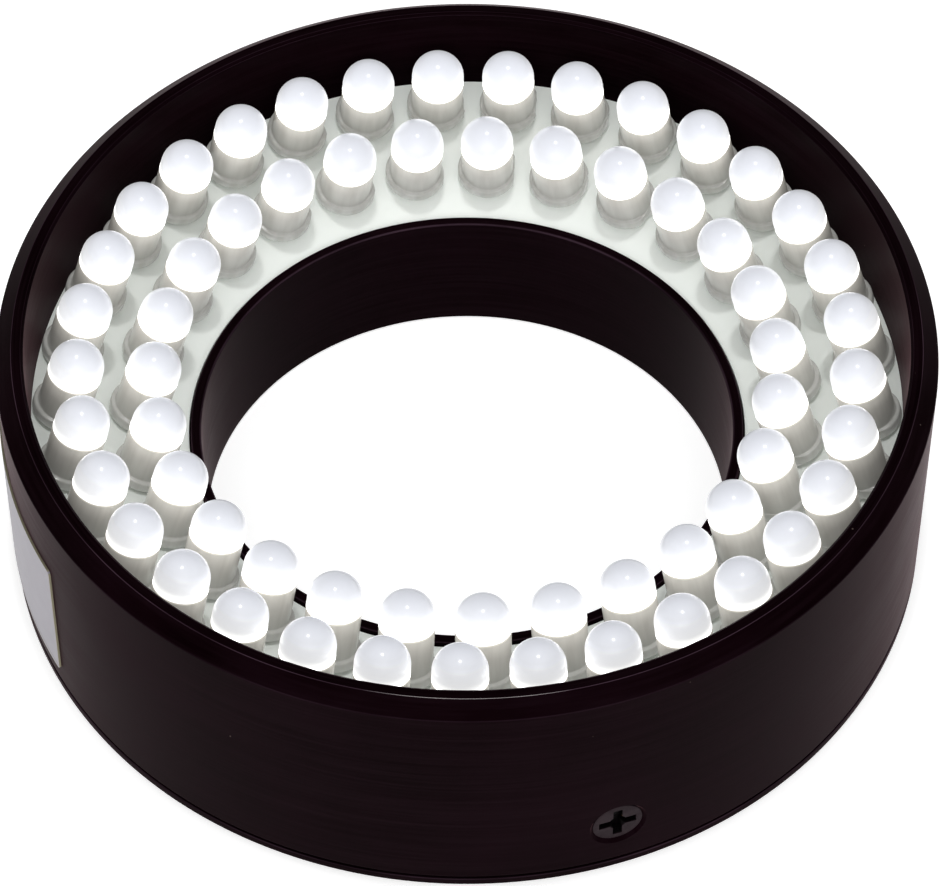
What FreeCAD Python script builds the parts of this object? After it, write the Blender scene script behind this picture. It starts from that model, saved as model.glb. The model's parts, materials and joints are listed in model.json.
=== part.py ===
import FreeCAD, Part, Sketcher
import math
import os
import re

# LED ring light: a turned housing ring, closed from behind by a base plate with a bore sleeve,
# carries a conical circuit board with two rows of 5 mm LEDs that lean towards the optical axis.
# Frame: origin on the bore axis in the plane of the back face, +Z towards the light side.

# Driving dimensions: millimetres, degrees and plain counts.
DIMENSIONS = {
    # outer housing
    "body_radius": 42.9,
    "body_height": 26.8,
    "wall": 2.6,
    "bevel_width": 1.5,
    "bevel_drop": 1.3,
    "inner_break": 0.25,
    "edge_break": 0.75,
    # base plate and the seam between it and the housing
    "flange_thickness": 1.5,
    "groove_radius": 41.8,
    "seam_top": 1.9,
    "plate_thickness": 3.0,
    "fit_gap": 0.05,
    "spigot_wall": 2.75,
    "spigot_top": 10.3,
    # bore sleeve, whose end stands proud of the board as a thin collar
    "bore_radius": 24.75,
    "sleeve_radius": 26.0,
    "collar_radius": 25.72,
    "collar_top": 13.65,
    "collar_break": 0.2,
    "shoulder_radius": 27.2,
    "shoulder_foot": 10.0,
    "shoulder_rise": 1.4,
    # conical circuit board, given by its top surface at the inner row of LEDs
    "board_inner_radius": 25.9,
    "board_outer_radius": 40.2,
    "board_thickness": 0.62,
    "board_slope": 0.2867,
    "board_height": 14.59,
    "inner_row_radius": 30.59,
    "outer_row_radius": 37.51,
    "support_inner_radius": 38.9,
    # LED rows
    "inner_row_count": 27,
    "outer_row_count": 33,
    "inner_row_phase": -7.2,
    "outer_row_phase": -3.7,
    "string_length": 3,
    # one 5 mm LED
    "led_standoff": 0.5,
    "flange_radius": 2.9,
    "flange_height": 1.0,
    "flat_distance": 2.55,
    "lens_radius": 2.5,
    "dome_height": 6.2,
    "lead_pitch": 2.54,
    "lead_width": 0.5,
    "lead_tail": 1.2,
    "lead_hole_radius": 0.45,
    "anode_post_top": 3.3,
    "cup_radius": 1.0,
    "cup_offset": 0.35,
    "cup_foot": 2.2,
    "cup_height": 1.4,
    "cup_depth": 0.9,
    "cup_mouth_radius": 0.85,
    "cup_floor_radius": 0.45,
    "die_width": 0.35,
    "die_height": 0.15,
    # parts soldered under the board
    "part_row_radius": 34.4,
    "solder_gap": 0.05,
    "resistor_long": 3.2,
    "resistor_wide": 1.6,
    "resistor_high": 0.55,
    "diode_angle": 81.0,
    "diode_long": 4.5,
    "diode_wide": 2.6,
    "diode_high": 2.2,
    # radial countersunk screws that hold the housing on the spigot
    "screw_count": 3,
    "screw_first_angle": -71.8,
    "screw_height": 7.0,
    "screw_head_radius": 2.35,
    "screw_head_rim": 0.15,
    "screw_head_depth": 1.15,
    "screw_shank_radius": 1.2,
    "screw_length": 5.0,
    "screw_recess": 0.25,
    "screw_slot_width": 0.8,
    "screw_slot_span": 2.9,
    "screw_slot_depth": 0.95,
    "screw_thread_radius": 1.25,
    "screw_clearance_radius": 1.4,
    "countersink_radius": 2.75,
    # tapped holes in the back face
    "back_screw_count": 4,
    "back_screw_circle": 33.0,
    "back_screw_radius": 1.25,
    "back_screw_first_angle": 45.0,
    # insulating sheet that lies on the base plate
    "sheet_inner_radius": 27.5,
    "sheet_outer_radius": 37.2,
    "sheet_thickness": 0.25,
    "sheet_hole_radius": 2.0,
    # direct-current inlet in the rear wall
    "inlet_height": 8.2,
    "inlet_face": 42.1,
    "inlet_flange_radius": 5.4,
    "inlet_flange_thickness": 0.8,
    "inlet_barrel_radius": 3.95,
    "inlet_barrel_length": 9.1,
    "inlet_hole_radius": 4.0,
    "inlet_socket_radius": 2.9,
    "inlet_socket_depth": 8.0,
    "inlet_pin_radius": 1.05,
    "inlet_pin_recess": 0.9,
    "inlet_tail_radius": 0.6,
    "inlet_tail_length": 2.5,
    "inlet_strip_width": 1.4,
    "inlet_strip_thickness": 0.3,
    "inlet_strip_offset": 2.4,
    "inlet_strip_recess": 1.8,
    "inlet_washer_front": 2.25,
    "inlet_washer_thickness": 0.5,
    "inlet_nut_corner_radius": 5.77,
    "inlet_nut_thickness": 2.0,
    "inlet_notch_width": 13.2,
    "inlet_notch_floor": 2.4,
    "inlet_notch_ceiling": 13.8,
    "wire_radius": 0.55,
    "wire_end_radius": 34.2,
    "wire_end_angle": 27.0,
    # thin nameplate, blank, bonded to the left side
    "plate_first_angle": 174.0,
    "plate_span_angle": 35.8,
    "plate_bottom": 3.9,
    "plate_top": 18.4,
    "plate_skin": 0.2,
}

AXIS_X = FreeCAD.Vector(1, 0, 0)
AXIS_Y = FreeCAD.Vector(0, 1, 0)
AXIS_Z = FreeCAD.Vector(0, 0, 1)
ORIGIN = FreeCAD.Vector(0, 0, 0)

os.makedirs("parts", exist_ok=True)
document = FreeCAD.newDocument("RingLight")
sheet = document.addObject("Spreadsheet::Sheet", "Dimensions")
for row, (alias, number) in enumerate(DIMENSIONS.items(), start=1):
    sheet.set(f"A{row}", alias)
    sheet.set(f"B{row}", str(number))
    sheet.setAlias(f"B{row}", alias)
document.recompute()

nodes = []


def size(alias):
    """The number that a sheet cell holds."""
    return float(sheet.get(alias))


def bound(expression):
    """The expression with every alias written as a reference to the sheet."""
    def refer(match):
        word = match.group(0)
        return f"Dimensions.{word}" if word in DIMENSIONS else word
    return re.sub(r"[a-z]+(?:_[a-z]+)+|wall", refer, expression)


def board_line(radius):
    """Expression for the height of the board's top surface at a radius expression."""
    return f"board_height + board_slope * ({radius} - inner_row_radius)"


def board_height_at(radius):
    """The same height as a number."""
    return size("board_height") + size("board_slope") * (radius - size("inner_row_radius"))


def keep(item, label):
    """Names a finished sub-part and lists it for export."""
    item.Label = label
    nodes.append(item)
    return item


# Turned pieces

def origin_feature(body, role):
    return next(item for item in body.Origin.OriginFeatures if item.Role == role)


def turned(name, corners, angle="360"):
    """A body turned about Z from a closed profile of (radius, height) expressions."""
    body = document.addObject("PartDesign::Body", name)
    sketch = body.newObject("Sketcher::SketchObject", f"{name}_profile")
    sketch.AttachmentSupport = (origin_feature(body, "XZ_Plane"), "")
    sketch.MapMode = "FlatFace"
    count = len(corners)
    # A rough ring of points to start from. The constraints then pull each one to its place.
    start = [
        FreeCAD.Vector(30 + 9 * math.cos(2 * math.pi * index / count),
                       12 + 9 * math.sin(2 * math.pi * index / count), 0)
        for index in range(count)
    ]
    for index in range(count):
        sketch.addGeometry(Part.LineSegment(start[index], start[(index + 1) % count]), False)
    Constraint = Sketcher.Constraint
    for index, (radius, height) in enumerate(corners):
        sketch.addConstraint(Constraint("Coincident", index, 2, (index + 1) % count, 1))
        for kind, value, expression in (("DistanceX", start[index].x, radius),
                                        ("DistanceY", start[index].y, height)):
            number = sketch.addConstraint(Constraint(kind, -1, 1, index, 1, value))
            sketch.renameConstraint(number, f"{kind}{index}")
            sketch.setExpression(f"Constraints.{kind}{index}", bound(expression))
    turn = body.newObject("PartDesign::Revolution", f"{name}_turn")
    turn.Profile = sketch
    turn.ReferenceAxis = (sketch, ["V_Axis"])
    turn.setExpression("Angle", bound(angle))
    body.Tip = turn
    return body


# Primitives and booleans

def primitive(kind, name, placement=None, **expressions):
    """A Part primitive whose sizes are bound to the sheet."""
    item = document.addObject(f"Part::{kind}", name)
    for attribute, expression in expressions.items():
        item.setExpression(attribute, bound(expression))
    if placement is not None:
        item.Placement = placement
    return item


def shift(x=0, y=0, z=0):
    return FreeCAD.Placement(FreeCAD.Vector(x, y, z), FreeCAD.Rotation())


def turn_about_z(angle):
    return FreeCAD.Placement(ORIGIN, FreeCAD.Rotation(AXIS_Z, angle))


def fused(name, parts):
    item = document.addObject("Part::MultiFuse", name)
    item.Shapes = parts
    return item


def cut(name, base, tool):
    item = document.addObject("Part::Cut", name)
    item.Base = base
    item.Tool = tool
    return item


def shaped(name, shape):
    """A plain shape, for groups of placed copies and swept tubes."""
    item = document.addObject("Part::Feature", name)
    item.Shape = shape
    return item


def copies(name, source, placements):
    """A group of placed copies of one source shape, each copy its own solid."""
    document.recompute()
    solids = []
    for placement in placements:
        copy = source.Shape.copy()
        copy.Placement = placement.multiply(source.Shape.Placement)
        solids.append(copy)
    return shaped(name, Part.makeCompound(solids))


# Screws and their holes. A screw lies along its own Z axis, its head's face at zero.

def screw_placement(index, radius):
    """Stands a Z-axis tool on the wall, pointing outwards, at one screw's place."""
    angle = size("screw_first_angle") + index * 360 / size("screw_count")
    outwards = FreeCAD.Placement(FreeCAD.Vector(radius, 0, size("screw_height")),
                                 FreeCAD.Rotation(AXIS_Y, 90))
    return turn_about_z(angle).multiply(outwards)


def screw_placements(radius):
    return [screw_placement(index, radius) for index in range(int(size("screw_count")))]


def housing_screws():
    head_rim = primitive("Cylinder", "screw_head_rim", Radius="screw_head_radius",
                         Height="screw_head_rim")
    head_rim.setExpression("Placement.Base.z", bound("-screw_head_rim"))
    cone = primitive("Cone", "screw_head_cone", Radius1="screw_shank_radius",
                     Radius2="screw_head_radius", Height="screw_head_depth")
    cone.setExpression("Placement.Base.z", bound("-screw_head_rim - screw_head_depth"))
    shank = primitive("Cylinder", "screw_shank", Radius="screw_shank_radius",
                      Height="screw_length - screw_head_rim - screw_head_depth")
    shank.setExpression("Placement.Base.z", bound("-screw_length"))
    blank = fused("screw_blank", [head_rim, cone, shank])
    slots = []
    for name, long_side, short_side in (("screw_slot_up", "x", "y"), ("screw_slot_across", "y", "x")):
        spans = {"x": "Length", "y": "Width"}
        slot = primitive("Box", name, Height="screw_slot_depth + fit_gap",
                         **{spans[long_side]: "screw_slot_span",
                            spans[short_side]: "screw_slot_width"})
        slot.setExpression(f"Placement.Base.{long_side}", bound("-screw_slot_span / 2"))
        slot.setExpression(f"Placement.Base.{short_side}", bound("-screw_slot_width / 2"))
        slot.setExpression("Placement.Base.z", bound("-screw_slot_depth"))
        slots.append(slot)
    screw = cut("screw", blank, fused("screw_cross", slots))
    places = screw_placements(size("body_radius") - size("screw_recess"))
    keep(copies("housing_screws_group", screw, places), "housing_screws")


def screw_clearance():
    """Countersunk clearance hole, drilled inwards from the wall's surface."""
    drill = primitive("Cylinder", "clearance_drill", Radius="screw_clearance_radius",
                      Height="3 * wall")
    drill.setExpression("Placement.Base.z", bound("-2 * wall"))
    depth = "(countersink_radius - screw_clearance_radius)"
    sink = primitive("Cone", "countersink", Radius1="screw_clearance_radius",
                     Radius2="countersink_radius", Height=depth)
    sink.setExpression("Placement.Base.z", bound(f"-{depth}"))
    mouth = primitive("Cylinder", "countersink_mouth", Radius="countersink_radius", Height="wall")
    tool = fused("clearance_tool", [drill, sink, mouth])
    return copies("clearance_tools", tool, screw_placements(size("body_radius")))


def screw_threads():
    drill = primitive("Cylinder", "thread_drill", Radius="screw_thread_radius",
                      Height="3 * spigot_wall")
    drill.setExpression("Placement.Base.z", bound("-2 * spigot_wall"))
    return copies("thread_tools", drill, screw_placements(size("body_radius") - size("wall")))


def back_holes(name, radius):
    """Axial holes on the back screws' circle, through the base plate and the sheet."""
    drill = primitive("Cylinder", f"{name}_drill", Radius=radius, Height="3 * plate_thickness")
    places = []
    for index in range(int(size("back_screw_count"))):
        angle = size("back_screw_first_angle") + index * 360 / size("back_screw_count")
        away = shift(size("back_screw_circle"), 0, -size("plate_thickness"))
        places.append(turn_about_z(angle).multiply(away))
    return copies(f"{name}_tools", drill, places)


# The inlet's own frame: Z outwards through the rear wall, Y down, zero on the spot-face.

def inlet_placement(depth=0):
    return FreeCAD.Placement(
        FreeCAD.Vector(0, size("inlet_face") - depth, size("inlet_height")),
        FreeCAD.Rotation(AXIS_X, -90))


def inlet_piece(item, label):
    item.Placement = inlet_placement().multiply(item.Placement)
    return keep(item, label)


def inlet_wall_tool():
    """Hole for the barrel and the spot-face under the flange."""
    hole = primitive("Cylinder", "inlet_hole", Radius="inlet_hole_radius", Height="4 * wall")
    hole.setExpression("Placement.Base.z", bound("-3 * wall"))
    face = primitive("Cylinder", "inlet_spot_face", Radius="inlet_flange_radius + fit_gap",
                     Height="wall")
    tool = fused("inlet_wall_tool", [hole, face])
    tool.Placement = inlet_placement()
    return tool


def inlet_notch(name):
    """Room for the inlet's nut and washer in the spigot and the support ring."""
    notch = primitive("Box", name, Length="inlet_notch_width",
                      Width="body_radius - sheet_outer_radius",
                      Height="inlet_notch_ceiling - inlet_notch_floor")
    notch.setExpression("Placement.Base.x", bound("-inlet_notch_width / 2"))
    notch.setExpression("Placement.Base.y", bound("sheet_outer_radius"))
    notch.setExpression("Placement.Base.z", bound("inlet_notch_floor"))
    return notch


def inlet_strip(name, length, recess):
    strip = primitive("Box", name, Length="inlet_strip_width", Width="inlet_strip_thickness",
                      Height=length)
    strip.setExpression("Placement.Base.x", bound("-inlet_strip_width / 2"))
    strip.setExpression("Placement.Base.y", bound("inlet_strip_offset"))
    strip.setExpression("Placement.Base.z",
                        bound(f"inlet_flange_thickness - {recess} - ({length})"))
    return strip


INLET_BACK = "inlet_barrel_length + inlet_flange_thickness"


def inlet_jack():
    flange = primitive("Cylinder", "inlet_flange", Radius="inlet_flange_radius",
                       Height="inlet_flange_thickness")
    barrel = primitive("Cylinder", "inlet_barrel", Radius="inlet_barrel_radius",
                       Height="inlet_barrel_length")
    barrel.setExpression("Placement.Base.z", bound("-inlet_barrel_length"))
    socket = primitive("Cylinder", "inlet_socket", Radius="inlet_socket_radius",
                       Height="inlet_socket_depth")
    socket.setExpression("Placement.Base.z", bound("inlet_flange_thickness - inlet_socket_depth"))
    tail_hole = primitive("Cylinder", "inlet_tail_hole", Radius="inlet_tail_radius",
                          Height="inlet_barrel_length")
    tail_hole.setExpression("Placement.Base.z", bound("-inlet_barrel_length"))
    slot = inlet_strip("inlet_strip_slot", INLET_BACK, "0")
    hollow = fused("inlet_hollow", [socket, tail_hole, slot])
    body = cut("inlet_jack_body", fused("inlet_outside", [flange, barrel]), hollow)
    inlet_piece(body, "inlet_body")

    pin_length = "inlet_socket_depth - inlet_pin_recess"
    pin = primitive("Cylinder", "inlet_pin", Radius="inlet_pin_radius", Height=pin_length)
    pin.setExpression("Placement.Base.z", bound("inlet_flange_thickness - inlet_socket_depth"))
    tail_length = f"{INLET_BACK} - inlet_socket_depth + inlet_tail_length"
    tail = primitive("Cylinder", "inlet_pin_tail", Radius="inlet_tail_radius", Height=tail_length)
    tail.setExpression("Placement.Base.z", bound("-inlet_barrel_length - inlet_tail_length"))
    inlet_piece(fused("inlet_pin_and_tail", [pin, tail]), "inlet_centre_pin")

    strip_length = f"{INLET_BACK} + inlet_tail_length - inlet_strip_recess"
    strip = inlet_strip("inlet_spring_strip", strip_length, "inlet_strip_recess")
    keep(copies("inlet_spring_strip_placed", strip, [inlet_placement()]), "inlet_sleeve_contact")

    washer = primitive("Cylinder", "inlet_washer_disc", Radius="inlet_flange_radius",
                       Height="inlet_washer_thickness")
    washer_hole = primitive("Cylinder", "inlet_washer_hole", Radius="inlet_hole_radius",
                            Height="inlet_washer_thickness")
    ring = cut("inlet_washer_ring", washer, washer_hole)
    ring.Placement = shift(z=-size("inlet_washer_front") - size("inlet_washer_thickness"))
    inlet_piece(ring, "inlet_washer")

    hexagon = primitive("Prism", "inlet_nut_hexagon", Circumradius="inlet_nut_corner_radius",
                        Height="inlet_nut_thickness")
    hexagon.Polygon = 6
    nut_hole = primitive("Cylinder", "inlet_nut_hole", Radius="inlet_barrel_radius",
                         Height="inlet_nut_thickness")
    nut = cut("inlet_nut_ring", hexagon, nut_hole)
    nut.Placement = shift(z=-size("inlet_washer_front") - size("inlet_washer_thickness")
                          - size("inlet_nut_thickness"))
    inlet_piece(nut, "inlet_nut")


# Wires from the inlet's tails to the board's underside

def tangent_route(points):
    """Straight runs joined by tangent arcs as large as the shorter run beside each corner allows."""
    edges = []
    radii = []
    last = points[0]
    for before, corner, after in zip(points, points[1:], points[2:]):
        inward = (before - corner)
        outward = (after - corner)
        shorter = min(inward.Length, outward.Length)
        inward.normalize()
        outward.normalize()
        half_turn = (math.pi - inward.getAngle(outward)) / 2
        reach = 0.45 * shorter
        radii.append(reach / math.tan(half_turn))
        arc_start = corner + inward * reach
        arc_end = corner + outward * reach
        middle = inward + outward
        middle.normalize()
        gap = radii[-1] / math.cos(half_turn) - radii[-1]
        edges.append(Part.LineSegment(last, arc_start).toShape())
        edges.append(Part.Arc(arc_start, corner + middle * gap, arc_end).toShape())
        last = arc_end
    edges.append(Part.LineSegment(last, points[-1]).toShape())
    return Part.Wire(edges), radii


def wire_tube(label, points):
    route, radii = tangent_route(points)
    section = Part.Wire(Part.makeCircle(size("wire_radius"), points[0], points[1] - points[0]))
    tube = route.makePipeShell([section], True, True)
    expected = route.Length * math.pi * size("wire_radius") ** 2
    print(f"{label}: length {route.Length:.1f} mm, bend radii",
          ", ".join(f"{radius:.1f}" for radius in radii),
          f"mm, volume {tube.Volume:.2f} of {expected:.2f} mm3")
    keep(shaped(f"{label}_tube", tube), label)


def wires():
    tail_y = size("inlet_face") - size("inlet_barrel_length") - size("inlet_tail_length") / 2
    end_radius = size("wire_end_radius")
    end_angle = math.radians(size("wire_end_angle"))
    end_x = end_radius * math.sin(end_angle)
    end_y = end_radius * math.cos(end_angle)
    end_z = (board_height_at(end_radius - size("wire_radius"))
             - size("board_thickness") - size("solder_gap"))
    strip_z = size("inlet_height") - size("inlet_strip_offset") - size("inlet_strip_thickness") / 2
    for label, side, start_x, start_z in (
            ("wire_positive", 1, size("inlet_tail_radius") + size("fit_gap"), size("inlet_height")),
            ("wire_negative", -1, size("inlet_strip_width") / 2, strip_z)):
        heights = [start_z, start_z, start_z + 0.25 * (end_z - start_z),
                   start_z + 0.55 * (end_z - start_z), end_z]
        across = [start_x, 0.4 * end_x, 0.75 * end_x, 0.985 * end_x, end_x]
        along = [tail_y, tail_y + 0.1, tail_y - 0.2, end_y + 0.2, end_y]
        wire_tube(label, [FreeCAD.Vector(side * x, y, z)
                          for x, y, z in zip(across, along, heights)])


# Housing, base, sleeve and the rings between them

def outer_housing():
    inner = "body_radius - wall"
    ring = turned("housing_ring", [
        (inner, "seam_top"),
        ("body_radius", "seam_top"),
        ("body_radius", "body_height - bevel_drop"),
        ("body_radius - bevel_width", "body_height"),
        (f"{inner} + inner_break", "body_height"),
        (inner, "body_height - inner_break"),
    ])
    holes = fused("housing_tools", [screw_clearance(), inlet_wall_tool()])
    keep(cut("housing_drilled", ring, holes), "outer_housing")


def base_plate():
    spigot = "body_radius - wall - fit_gap"
    spigot_inner = f"{spigot} - spigot_wall"
    blank = turned("base_blank", [
        ("sleeve_radius", "0"),
        ("body_radius - edge_break", "0"),
        ("body_radius", "edge_break"),
        ("body_radius", "flange_thickness"),
        ("groove_radius", "flange_thickness"),
        ("groove_radius", "seam_top"),
        (spigot, "seam_top"),
        (spigot, "spigot_top"),
        (spigot_inner, "spigot_top"),
        (spigot_inner, "plate_thickness"),
        ("sleeve_radius", "plate_thickness"),
    ])
    tools = fused("base_tools", [screw_threads(), back_holes("back_thread", "back_screw_radius"),
                                 inlet_notch("spigot_notch")])
    keep(cut("base_machined", blank, tools), "base_plate")


def bore_sleeve():
    sleeve = turned("sleeve_blank", [
        ("bore_radius", "0"),
        ("sleeve_radius", "0"),
        ("sleeve_radius", "shoulder_foot"),
        ("shoulder_radius", "shoulder_foot + shoulder_rise"),
        ("shoulder_radius", board_line("shoulder_radius") + " - board_thickness"),
        ("collar_radius", board_line("collar_radius") + " - board_thickness"),
        ("collar_radius", "collar_top - collar_break"),
        ("collar_radius - collar_break", "collar_top"),
        ("bore_radius + collar_break", "collar_top"),
        ("bore_radius", "collar_top - collar_break"),
    ])
    keep(sleeve, "bore_sleeve")


def board_support_ring():
    under = " - board_thickness"
    ring = turned("support_blank", [
        ("support_inner_radius", "spigot_top"),
        ("board_outer_radius", "spigot_top"),
        ("board_outer_radius", board_line("board_outer_radius") + under),
        ("support_inner_radius", board_line("support_inner_radius") + under),
    ])
    keep(cut("support_notched", ring, inlet_notch("support_notch")), "board_support_ring")


def insulating_sheet():
    top = "plate_thickness + sheet_thickness"
    ring = turned("sheet_blank", [
        ("sheet_inner_radius", "plate_thickness"),
        ("sheet_outer_radius", "plate_thickness"),
        ("sheet_outer_radius", top),
        ("sheet_inner_radius", top),
    ])
    holes = back_holes("sheet_hole", "sheet_hole_radius")
    keep(cut("sheet_punched", ring, holes), "insulating_sheet")


def nameplate():
    outside = "body_radius + plate_skin"
    plate = turned("nameplate_blank", [
        ("body_radius", "plate_bottom"),
        (outside, "plate_bottom"),
        (outside, "plate_top"),
        ("body_radius", "plate_top"),
    ], angle="plate_span_angle")
    plate.Placement = turn_about_z(size("plate_first_angle"))
    keep(plate, "nameplate")


# LEDs. One LED stands on its own Z axis, its flange's underside at zero, its leads along Y.

def led_tilt():
    return math.degrees(math.atan(size("board_slope")))


def board_placement(radius, angle, lift):
    """A frame on the board at a radius and angle, Z square to the board, lifted along it."""
    lean = FreeCAD.Placement(FreeCAD.Vector(radius, 0, board_height_at(radius)),
                             FreeCAD.Rotation(AXIS_Y, -led_tilt()))
    return turn_about_z(angle).multiply(lean).multiply(shift(z=lift))


def led_placements(row):
    count = int(size(f"{row}_row_count"))
    return [board_placement(size(f"{row}_row_radius"),
                            size(f"{row}_row_phase") + index * 360 / count,
                            size("led_standoff"))
            for index in range(count)]


def lead_box(name, side, width, top):
    """One straight square lead, from its trimmed tail up to a height inside the lens."""
    lead = primitive("Box", name, Length="lead_width", Width=width,
                     Height=f"led_standoff + board_thickness + lead_tail + {top}")
    lead.setExpression("Placement.Base.x", bound("-lead_width / 2"))
    lead.setExpression("Placement.Base.y", bound(f"{side} * lead_pitch / 2 - lead_width / 2"))
    lead.setExpression("Placement.Base.z", bound("-led_standoff - board_thickness - lead_tail"))
    return lead


def cathode_lead():
    lead = lead_box("cathode_straight", "-1", "lead_width", "cup_foot + cup_height / 2")
    cup = primitive("Cylinder", "cathode_cup", Radius="cup_radius", Height="cup_height")
    bowl = primitive("Cone", "cathode_bowl", Radius1="cup_floor_radius",
                     Radius2="cup_mouth_radius", Height="cup_depth")
    for item, height in ((cup, "cup_foot"), (bowl, "cup_foot + cup_height - cup_depth")):
        item.setExpression("Placement.Base.y", bound("-cup_offset"))
        item.setExpression("Placement.Base.z", bound(height))
    return cut("cathode_lead", fused("cathode_blank", [lead, cup]), bowl)


def led_die():
    die = primitive("Box", "die", Length="die_width", Width="die_width", Height="die_height")
    die.setExpression("Placement.Base.x", bound("-die_width / 2"))
    die.setExpression("Placement.Base.y", bound("-cup_offset - die_width / 2"))
    die.setExpression("Placement.Base.z", bound("cup_foot + cup_height - cup_depth"))
    return die


def led_lens(inner_parts):
    """Milky epoxy lens, moulded round the leads and the die."""
    flange = primitive("Cylinder", "lens_flange", Radius="flange_radius", Height="flange_height")
    stem = primitive("Cylinder", "lens_stem", Radius="lens_radius", Height="dome_height")
    dome = primitive("Sphere", "lens_dome", Radius="lens_radius", Angle1="0")
    dome.setExpression("Placement.Base.z", bound("dome_height"))
    flat = primitive("Box", "lens_flat", Length="4 * flange_radius", Width="flange_radius",
                     Height="flange_height")
    flat.setExpression("Placement.Base.x", bound("-2 * flange_radius"))
    flat.setExpression("Placement.Base.y", bound("-flat_distance - flange_radius"))
    outside = cut("lens_outside", fused("lens_blank", [flange, stem, dome]), flat)
    return cut("lens", outside, fused("lens_inserts", inner_parts))


def leds():
    anode = lead_box("anode_lead", "1", "lead_width", "anode_post_top")
    cathode = cathode_lead()
    die = led_die()
    lens = led_lens([anode, cathode, die])
    everywhere = led_placements("outer") + led_placements("inner")
    keep(copies("anode_group", anode, everywhere), "led_anode_leads")
    keep(copies("cathode_group", cathode, everywhere), "led_cathode_leads")
    keep(copies("die_group", die, everywhere), "led_dies")
    in_string = int(size("string_length"))
    for row in ("outer", "inner"):
        places = led_placements(row)
        for string in range(len(places) // in_string):
            members = places[string * in_string:(string + 1) * in_string]
            label = f"{row}_led_string_{string + 1:02d}"
            keep(copies(f"{label}_group", lens, members), label)


def circuit_board():
    under = " - board_thickness"
    cone = turned("board_blank", [
        ("board_inner_radius", board_line("board_inner_radius") + under),
        ("board_outer_radius", board_line("board_outer_radius") + under),
        ("board_outer_radius", board_line("board_outer_radius")),
        ("board_inner_radius", board_line("board_inner_radius")),
    ])
    drill = primitive("Cylinder", "lead_drill", Radius="lead_hole_radius",
                      Height="6 * board_thickness")
    drill.setExpression("Placement.Base.z", bound("-3 * board_thickness"))
    places = []
    for row in ("outer", "inner"):
        for led in led_placements(row):
            for side in (-1, 1):
                offset = shift(y=side * size("lead_pitch") / 2, z=-size("led_standoff"))
                places.append(led.multiply(offset))
    keep(cut("board_drilled", cone, copies("lead_holes", drill, places)), "circuit_board")


def under_board_box(name, long_side, wide_side, high_side, angle):
    """A surface-mounted part under the board, its long side along the tangent."""
    part = primitive("Box", name, Length=wide_side, Width=long_side, Height=high_side)
    drop = size("board_thickness") + size("solder_gap") + size(high_side)
    centre = shift(-size(wide_side) / 2, -size(long_side) / 2, -drop)
    part.Placement = board_placement(size("part_row_radius"), angle, 0).multiply(centre)
    return part


def resistors_and_diode():
    strings = int((size("outer_row_count") + size("inner_row_count")) / size("string_length"))
    for index in range(strings):
        label = f"string_resistor_{index + 1:02d}"
        keep(under_board_box(f"{label}_block", "resistor_long", "resistor_wide",
                             "resistor_high", index * 360 / strings), label)
    keep(under_board_box("diode_block", "diode_long", "diode_wide", "diode_high",
                         size("diode_angle")), "polarity_diode")


def check_document():
    """Stops if any object failed, or if a sub-part has no valid solid."""
    for item in document.Objects:
        if "Invalid" in item.State or "Error" in item.State:
            raise RuntimeError(f"{item.Name} failed: {item.State}")
    for item in nodes:
        shape = item.Shape
        if shape.isNull() or not shape.isValid() or not shape.Solids:
            raise RuntimeError(f"{item.Label} has no valid solid")


outer_housing()
base_plate()
bore_sleeve()
board_support_ring()
insulating_sheet()
nameplate()
housing_screws()
circuit_board()
leds()
resistors_and_diode()
inlet_jack()
wires()
document.recompute()
check_document()
for node in nodes:
    node.Shape.exportStep(f"parts/{node.Label}.step")
    print(f"{node.Label}: {len(node.Shape.Solids)} solids, {node.Shape.Volume:.1f} mm3")
print(len(nodes), "nodes")
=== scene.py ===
import json
import math

import bmesh
import bpy
from mathutils import Matrix, Vector


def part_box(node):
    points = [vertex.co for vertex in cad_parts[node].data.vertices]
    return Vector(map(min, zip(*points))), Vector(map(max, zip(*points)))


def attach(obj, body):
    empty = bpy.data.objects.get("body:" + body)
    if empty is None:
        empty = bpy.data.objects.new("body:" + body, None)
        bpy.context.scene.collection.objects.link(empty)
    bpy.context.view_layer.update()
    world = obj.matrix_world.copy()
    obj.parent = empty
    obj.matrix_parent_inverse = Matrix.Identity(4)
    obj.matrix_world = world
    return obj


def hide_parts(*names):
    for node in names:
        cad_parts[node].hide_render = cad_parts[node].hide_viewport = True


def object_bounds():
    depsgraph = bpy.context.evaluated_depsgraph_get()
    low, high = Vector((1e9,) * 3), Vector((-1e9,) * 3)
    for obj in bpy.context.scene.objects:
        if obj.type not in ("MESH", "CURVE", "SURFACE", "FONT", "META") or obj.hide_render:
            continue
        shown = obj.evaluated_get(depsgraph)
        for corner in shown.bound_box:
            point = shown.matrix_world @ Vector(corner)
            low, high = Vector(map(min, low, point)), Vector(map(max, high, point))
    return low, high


# The looks of the LED ring light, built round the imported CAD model: finer meshes for what shows,
# and a procedural material for every piece. Sizes are in millimetres until a mesh is finished.

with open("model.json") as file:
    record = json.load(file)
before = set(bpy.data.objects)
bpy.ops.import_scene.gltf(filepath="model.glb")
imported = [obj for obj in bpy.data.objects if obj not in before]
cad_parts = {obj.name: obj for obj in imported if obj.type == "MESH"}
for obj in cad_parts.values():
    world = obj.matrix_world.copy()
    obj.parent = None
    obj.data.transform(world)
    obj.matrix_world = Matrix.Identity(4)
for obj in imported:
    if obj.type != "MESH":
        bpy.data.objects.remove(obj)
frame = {"nodes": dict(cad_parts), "record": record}
cad_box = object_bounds()

MM = 0.001
BODY = "root"


def top_of(node):
    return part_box(node)[1].z / MM


def foot_of(node):
    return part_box(node)[0].z / MM


def radius_of(node):
    """Outer radius of a turned node."""
    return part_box(node)[1].y / MM


mounts = {mount["name"]: mount for mount in frame["record"]["mounts"]}

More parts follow.
